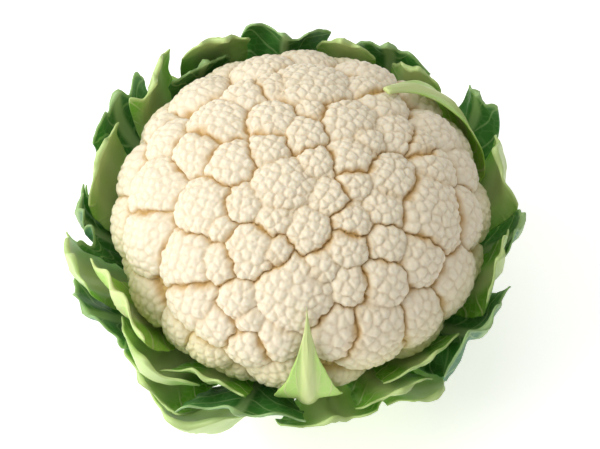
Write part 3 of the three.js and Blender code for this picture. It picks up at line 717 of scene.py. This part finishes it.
class LeafShape:
    """A leaf's form. s is how far up it a place is, and across how far to its side, both to 1."""

    def __init__(self, **own):
        self.__dict__.update(LEAF | own)

    def top_at(self, across):
        torn = self.jag * np.sin(across * self.teeth * math.pi + self.azimuth)
        return (self.top - self.sag * across * across + self.tilt * across + torn) * DEGREE

    def rise(self, angle, across):
        return np.clip((angle - BOWL_FROM) / (self.top_at(across) - BOWL_FROM), 0, 1)

    def middle(self, angle):
        return (self.azimuth + self.bend * smooth(*BEND_OVER, self.rise(angle, 0))) * DEGREE

    def half_width(self, angle):
        u = (angle - BOWL_FROM) / (math.pi / 2 - BOWL_FROM)
        broad = mix(STALK_HALF, self.width, smooth(*BROAD_OVER, u))
        return broad * (1 - self.point * smooth(*POINT_OVER, self.rise(angle, 0)))

    def lift(self, s, across):
        bulge = self.belly * np.sin(math.pi * np.minimum(1, s)) ** 2
        flare = self.flare * smooth(*FLARE_OVER, s) * FLARE_MOST + self.fold * smooth(*FOLD_OVER, s)
        margin = self.edge * np.abs(across) ** EDGE_POWER * smooth(*EDGE_OVER, s)
        phase = self.azimuth + np.where(across > 0, OTHER_SIDE_PHASE, 0)
        wave = 0.5 + 0.5 * np.sin(2 * math.pi * self.waves * s + phase)
        return bulge + flare + margin + self.ripple * wave * across * across * smooth(*RIPPLE_OVER, s)

    def rib_half(self, s):
        return mix(STALK_HALF, self.rib, smooth(*RIB_NARROW_OVER, s))

    def thickness(self, s, wide):
        side = mix(STALK_SIDE, BLADE_THICK, smooth(*SIDE_THIN_OVER, s))
        rib = mix(STALK_THICK, self.rib_thick, smooth(*RIB_THIN_OVER, s))
        share = np.clip(np.abs(wide) / self.rib_half(s), 0, 1)
        return side + (rib - side) * (1 - share * share)

    def between(self, laid, s, across):
        """A laid face between the rows and columns that it was laid at."""
        row = np.minimum((s * ROWS).astype(int), ROWS - 1)
        column = np.clip(np.searchsorted(COLUMNS, across), 1, len(COLUMNS) - 1)
        x = (across - COLUMNS[column - 1]) / (COLUMNS[column] - COLUMNS[column - 1])
        low = mix(laid[row, column - 1], laid[row, column], x)
        high = mix(laid[row + 1, column - 1], laid[row + 1, column], x)
        return mix(low, high, s * ROWS - row)


pile = np.zeros((PILE_AROUND, PILE_ALONG + 1))  # how far out of the bowl the leaves reach so far
STEP_ALONG = (BOWL_TO - BOWL_FROM) / PILE_ALONG
STEP_AROUND = 2 * math.pi / PILE_AROUND


def pile_at(around, angle):
    column = (around / STEP_AROUND) % PILE_AROUND
    row = np.clip((angle - BOWL_FROM) / STEP_ALONG, 0, PILE_ALONG - 1e-6)
    c, r = np.floor(column).astype(int), np.floor(row).astype(int)
    x, y = column - c, row - r
    c0, c1 = c % PILE_AROUND, (c + 1) % PILE_AROUND
    return mix(mix(pile[c0, r], pile[c1, r], x), mix(pile[c0, r + 1], pile[c1, r + 1], x), y)


def lay(leaf):
    """Lays a leaf on the pile, then adds it to the pile."""
    s, across = np.meshgrid(np.arange(ROWS + 1) / ROWS, COLUMNS, indexing="ij")
    angle = mix(BOWL_FROM, leaf.top_at(across), s)
    reach = bowl_at(angle)[0] + WRAP_REACH
    wide = across * leaf.half_width(angle)
    around = leaf.middle(angle) + wide / reach
    step_across, step_along = NEAR_ACROSS / reach, NEAR_ALONG / BOWL_RADIUS
    found = [pile_at(around + b * step_across, angle + a * step_along) for a in NEAR for b in NEAR]
    leaf.inner = np.max(found, axis=0) + LEAF_GAP + leaf.lift(s, across)
    leaf.outer = leaf.inner + leaf.thickness(s, wide)

    c, r = np.meshgrid(np.arange(PILE_AROUND), np.arange(PILE_ALONG + 1), indexing="ij")
    angle = BOWL_FROM + r * STEP_ALONG
    turn = c * STEP_AROUND - leaf.middle(angle)
    wide = np.arctan2(np.sin(turn), np.cos(turn)) * (bowl_at(angle)[0] + WRAP_REACH)
    half = leaf.half_width(angle)
    across = np.clip(wide / half, -1, 1)
    beside = np.maximum(0, np.abs(wide) - half)
    above = np.maximum(0, angle - leaf.top_at(across)) * BOWL_RADIUS
    past = np.hypot(beside, above)
    outer = leaf.between(leaf.outer, leaf.rise(angle, across), across)
    lifted = np.maximum(pile, mix(pile, outer, 1 - smooth(EASE_FROM, EASE_TO, past)))
    pile[:] = np.where(past > EASE_TO, pile, lifted)


FINE_ROWS, FINE_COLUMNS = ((56, 44))
# How uneven the torn top and the margins are, and the strength and bends of the lines they wander by.
TEAR, FRILL, RUFFLE, CURL = 0.4, 0.05, 0.45, 0.2
TEAR_LINES = ((0.9, 5), (0.5, 12), (0.3, 26))
FRILL_LINES = ((1, 14), (0.6, 34), (0.3, 60))
RUFFLE_BENDS, FINE_RUFFLE_BENDS, RUFFLE_SLANT, FINE_RUFFLE_SLANT = 16, 36, 0.02, 0.03
FRILL_RIPPLE, MARGIN_POWER, MARGIN_OVER, CURL_OVER = 0.4, 4, (0.25, 0.6), (0.8, 1)
MARGIN_THIN, MARGIN_THIN_FROM = 0.35, 0.9
SIDE_VEINS, VEIN_SLOPE, VEIN_RISE, VEIN_RIDGE, VEIN_OVER = 7.0, 1.9, 0.4, 0.75, (0.2, 0.5)
CORNER_ROUNDS = 3  # how often the corners between the laid places are softened


def soften(field, times):
    """Rounds off the corners that a field of numbers has along its rows and columns."""
    for _ in range(times):
        for axis in (0, 1):
            wide = np.concatenate([field.take([0], axis), field, field.take([-1], axis)], axis)
            n = field.shape[axis]
            field = (wide.take(range(0, n), axis) + 2 * field + wide.take(range(2, n + 2), axis)) / 4
    return field


def wander(t, bends, random):
    """A smooth random line with a number of bends from t = 0 to t = 1, between -1 and 1."""
    heights = random.uniform(-1, 1, bends + 1)
    at = np.clip(t, 0, 1) * bends
    before = np.minimum(at.astype(int), bends - 1)
    return mix(heights[before], heights[before + 1], smooth(0, 1, at - before))


def uneven(t, lines, random):
    return sum(strength * wander(t, bends, random) for strength, bends in lines)


def leaf_mesh(name, leaf, random):
    """The fine leaf: the laid blade, with its ribs, its ruffled margins and its torn top."""
    evenly = np.linspace(-1, 1, FINE_COLUMNS + 1)
    across = mix(np.sin(evenly * math.pi / 2), evenly, 0.5)
    s, across = np.meshgrid(np.linspace(0, 1, FINE_ROWS + 1), across, indexing="ij")
    torn = uneven((across + 1) / 2, TEAR_LINES, random)
    angle = mix(BOWL_FROM, leaf.top_at(across) + torn * leaf.jag * TEAR * DEGREE, s)
    radius, height, out_r, out_z = bowl_at(angle)
    margin = np.abs(across) ** MARGIN_POWER * smooth(*MARGIN_OVER, s)
    either = np.where(across > 0, 0.5 + s / 2, 0.5 - s / 2)  # one side's margin, then the other's
    frill = uneven(either, FRILL_LINES, random)
    wide = across * leaf.half_width(angle) * (1 + FRILL * frill * margin * (1 + leaf.ripple * FRILL_RIPPLE))
    around = leaf.middle(angle) + wide / (radius + WRAP_REACH)
    inner = soften(leaf.between(leaf.inner, s, np.clip(across, -1, 1)), CORNER_ROUNDS)
    ruffle = wander(either + across * RUFFLE_SLANT, RUFFLE_BENDS, random)
    ruffle = ruffle + 0.5 * wander(either - across * FINE_RUFFLE_SLANT, FINE_RUFFLE_BENDS, random)
    curl = CURL * leaf.jag * torn * smooth(*CURL_OVER, s)
    inner += (RUFFLE + RUFFLE * leaf.ripple) * ruffle * margin + curl
    thick = leaf.thickness(s, wide) * (1 - MARGIN_THIN * smooth(MARGIN_THIN_FROM, 1, np.abs(across)))
    side_vein = np.abs(((s * SIDE_VEINS - np.abs(across) * VEIN_SLOPE) % 1) - 0.5) * 2
    raised = smooth(VEIN_RIDGE, 1, side_vein) * (1 - np.abs(across)) * smooth(*VEIN_OVER, s)
    faces = []
    for out in (inner, inner + thick + raised * VEIN_RISE):
        r = radius + out * out_r
        points = np.stack([r * np.cos(around), r * np.sin(around), height + out * out_z], -1)
        faces.append(points.reshape(-1, 3))
    count = s.size
    grid = np.arange(count).reshape(s.shape)
    a, b, c, d = grid[:-1, :-1], grid[:-1, 1:], grid[1:, 1:], grid[1:, :-1]
    inside = np.stack([a, d, c, b], -1).reshape(-1, 4)
    outside = np.stack([a, b, c, d], -1).reshape(-1, 4) + count

    def rim(line):
        return np.stack([line[:-1], line[1:], line[1:] + count, line[:-1] + count], -1)

    rims = [rim(grid[0]), rim(grid[-1, ::-1]), rim(grid[::-1, 0]), rim(grid[:, -1])]
    layers = dict(across=across, along=s, wide=wide, rib_half=leaf.rib_half(s))
    layers = {key: np.tile(value.ravel(), 2) for key, value in layers.items()}
    layers["outside"] = np.repeat([0.0, 1.0], count)
    return mesh_from(name, np.concatenate(faces), np.concatenate([inside, outside, *rims]), **layers)


# The colours of each kind of leaf: its inner face, its outer face, and its midrib and veins. Then
# how far the midrib's paleness spreads over the blade, and how strong the veins are.
HEART_LEAF = dict(inner=(0.26, 0.47, 0.06, 1), outer=(0.34, 0.52, 0.13, 1), pale=(0.62, 0.72, 0.30, 1))
PALE_LEAF = dict(inner=(0.12, 0.32, 0.02, 1), outer=(0.19, 0.35, 0.08, 1), pale=(0.52, 0.67, 0.26, 1))
DARK_LEAF = dict(inner=(0.035, 0.14, 0.02, 1), outer=(0.05, 0.15, 0.075, 1), pale=(0.33, 0.50, 0.20, 1))
HEART_LEAF |= dict(spread=1.5, veins=0.9)
PALE_LEAF |= dict(spread=1.9, veins=0.95)
DARK_LEAF |= dict(spread=0.8, veins=0.65)
LEAF_GLOW = dict(Subsurface_Weight=0.12, Subsurface_Scale=0.003, Subsurface_Radius=(0.6, 1.0, 0.3))
LEAF_CLOUD, LEAF_SPECKLE = (55.0, 4.0), (420.0, 3.0)
GREEN_OFF_RIB, RIB_RAGGED = (0.35, 1.25), 0.9  # where the rib's pale turns green, and how unevenly
GREEN_UP_LEAF, UP_RAGGED = (-0.25, 0.65), 0.3
VEIN_LINE, VEIN_PALE, VEIN_RAGGED = (0.82, 0.96), 0.95, 0.5
NET_SCALE, NET_LINE, NET_PALE = 190.0, (0.0, 0.12), 0.27
CENTRE_LINE = (0.06, 0.2)
TONE_LIGHTER = 1.8
TORN_EDGE, TORN_RAGGED, TORN_PALE = (0.965, 0.99), 0.02, 0.8
LEAF_SMOOTH, BLADE_ROUGH, SPECKLE_ROUGH = 0.38, 0.12, 0.1
VEIN_RELIEF, SPECKLE_RELIEF, CLOUD_RELIEF = 0.6, 0.25, 0.3
LEAF_BUMP = dict(Strength=0.35, Distance=0.0012)


def leaf_material(name, inner, outer, pale, spread, veins):
    """A leaf's skin: a pale midrib that spreads into a green blade with light branching veins."""
    material = principled(name, **LEAF_GLOW)
    shader = material.node_tree.nodes["Principled BSDF"]
    tree = Tree(material.node_tree)
    across, along, wide, rib = (tree.layer(key) for key in ("across", "along", "wide", "rib_half"))
    side = tree.maths("ABSOLUTE", across)
    place = tree.node("ShaderNodeTexCoord").outputs["Object"]
    cloud, speckle = tree.cloud(place, *LEAF_CLOUD), tree.cloud(place, *LEAF_SPECKLE)
    ragged = cloud - 0.5
    off_rib = tree.maths("ABSOLUTE", wide) / (rib * spread)
    green = tree.step(*GREEN_OFF_RIB, off_rib + ragged * RIB_RAGGED)
    green = green * tree.step(*GREEN_UP_LEAF, along + ragged * UP_RAGGED)
    vein = tree.maths("FRACT", along * SIDE_VEINS - side * VEIN_SLOPE + ragged * VEIN_RAGGED)
    vein = tree.step(*VEIN_LINE, tree.maths("ABSOLUTE", vein - 0.5) * 2.0) * VEIN_PALE
    net = tree.node("ShaderNodeTexVoronoi", {"feature": "DISTANCE_TO_EDGE"}, Vector=place, Scale=NET_SCALE)
    net = (1 - tree.step(*NET_LINE, net.outputs["Distance"])) * NET_PALE
    centre = 1 - tree.step(*CENTRE_LINE, off_rib)
    lines = tree.maths("MAXIMUM", tree.maths("MAXIMUM", vein, net), centre) * veins
    face = tree.blend(tree.layer("outside"), inner, outer)
    lighter = tree.node("ShaderNodeVectorMath", {"operation": "SCALE"}, Vector=face, Scale=TONE_LIGHTER)
    skin = tree.blend(green, pale, tree.blend(cloud, face, lighter.outputs[0]))
    veined = tree.blend(lines * green, skin, pale)
    torn = tree.step(*TORN_EDGE, along + (speckle - 0.5) * TORN_RAGGED) * TORN_PALE
    tree.plug(tree.blend(torn, veined, pale), shader.inputs["Base Color"])
    tree.plug(LEAF_SMOOTH + green * BLADE_ROUGH + speckle * SPECKLE_ROUGH, shader.inputs["Roughness"])
    relief = lines * green * VEIN_RELIEF + speckle * SPECKLE_RELIEF + cloud * CLOUD_RELIEF
    bump = tree.node("ShaderNodeBump", Height=relief, **LEAF_BUMP)
    tree.plug(bump.outputs["Normal"], shader.inputs["Normal"])
    return material


leaf_skins = {
    "heart_leaf": leaf_material("heart leaf", **HEART_LEAF),
    "leaf": leaf_material("pale leaf", **PALE_LEAF),
    "dark_leaf": leaf_material("dark leaf", **DARK_LEAF),
}
for number, (name, own) in enumerate(LEAVES.items()):
    leaf = LeafShape(**own)
    lay(leaf)
    dark = name.startswith("dark") or "pointing" in name
    kind = "heart_leaf" if name.startswith("heart") else "dark_leaf" if dark else "leaf"
    mesh = leaf_mesh(name + "_blade", leaf, np.random.default_rng(number))
    mesh.materials.append(leaf_skins[kind])
    piece = place_object(name + "_blade", mesh)
    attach(piece, "root")
    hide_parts(name)
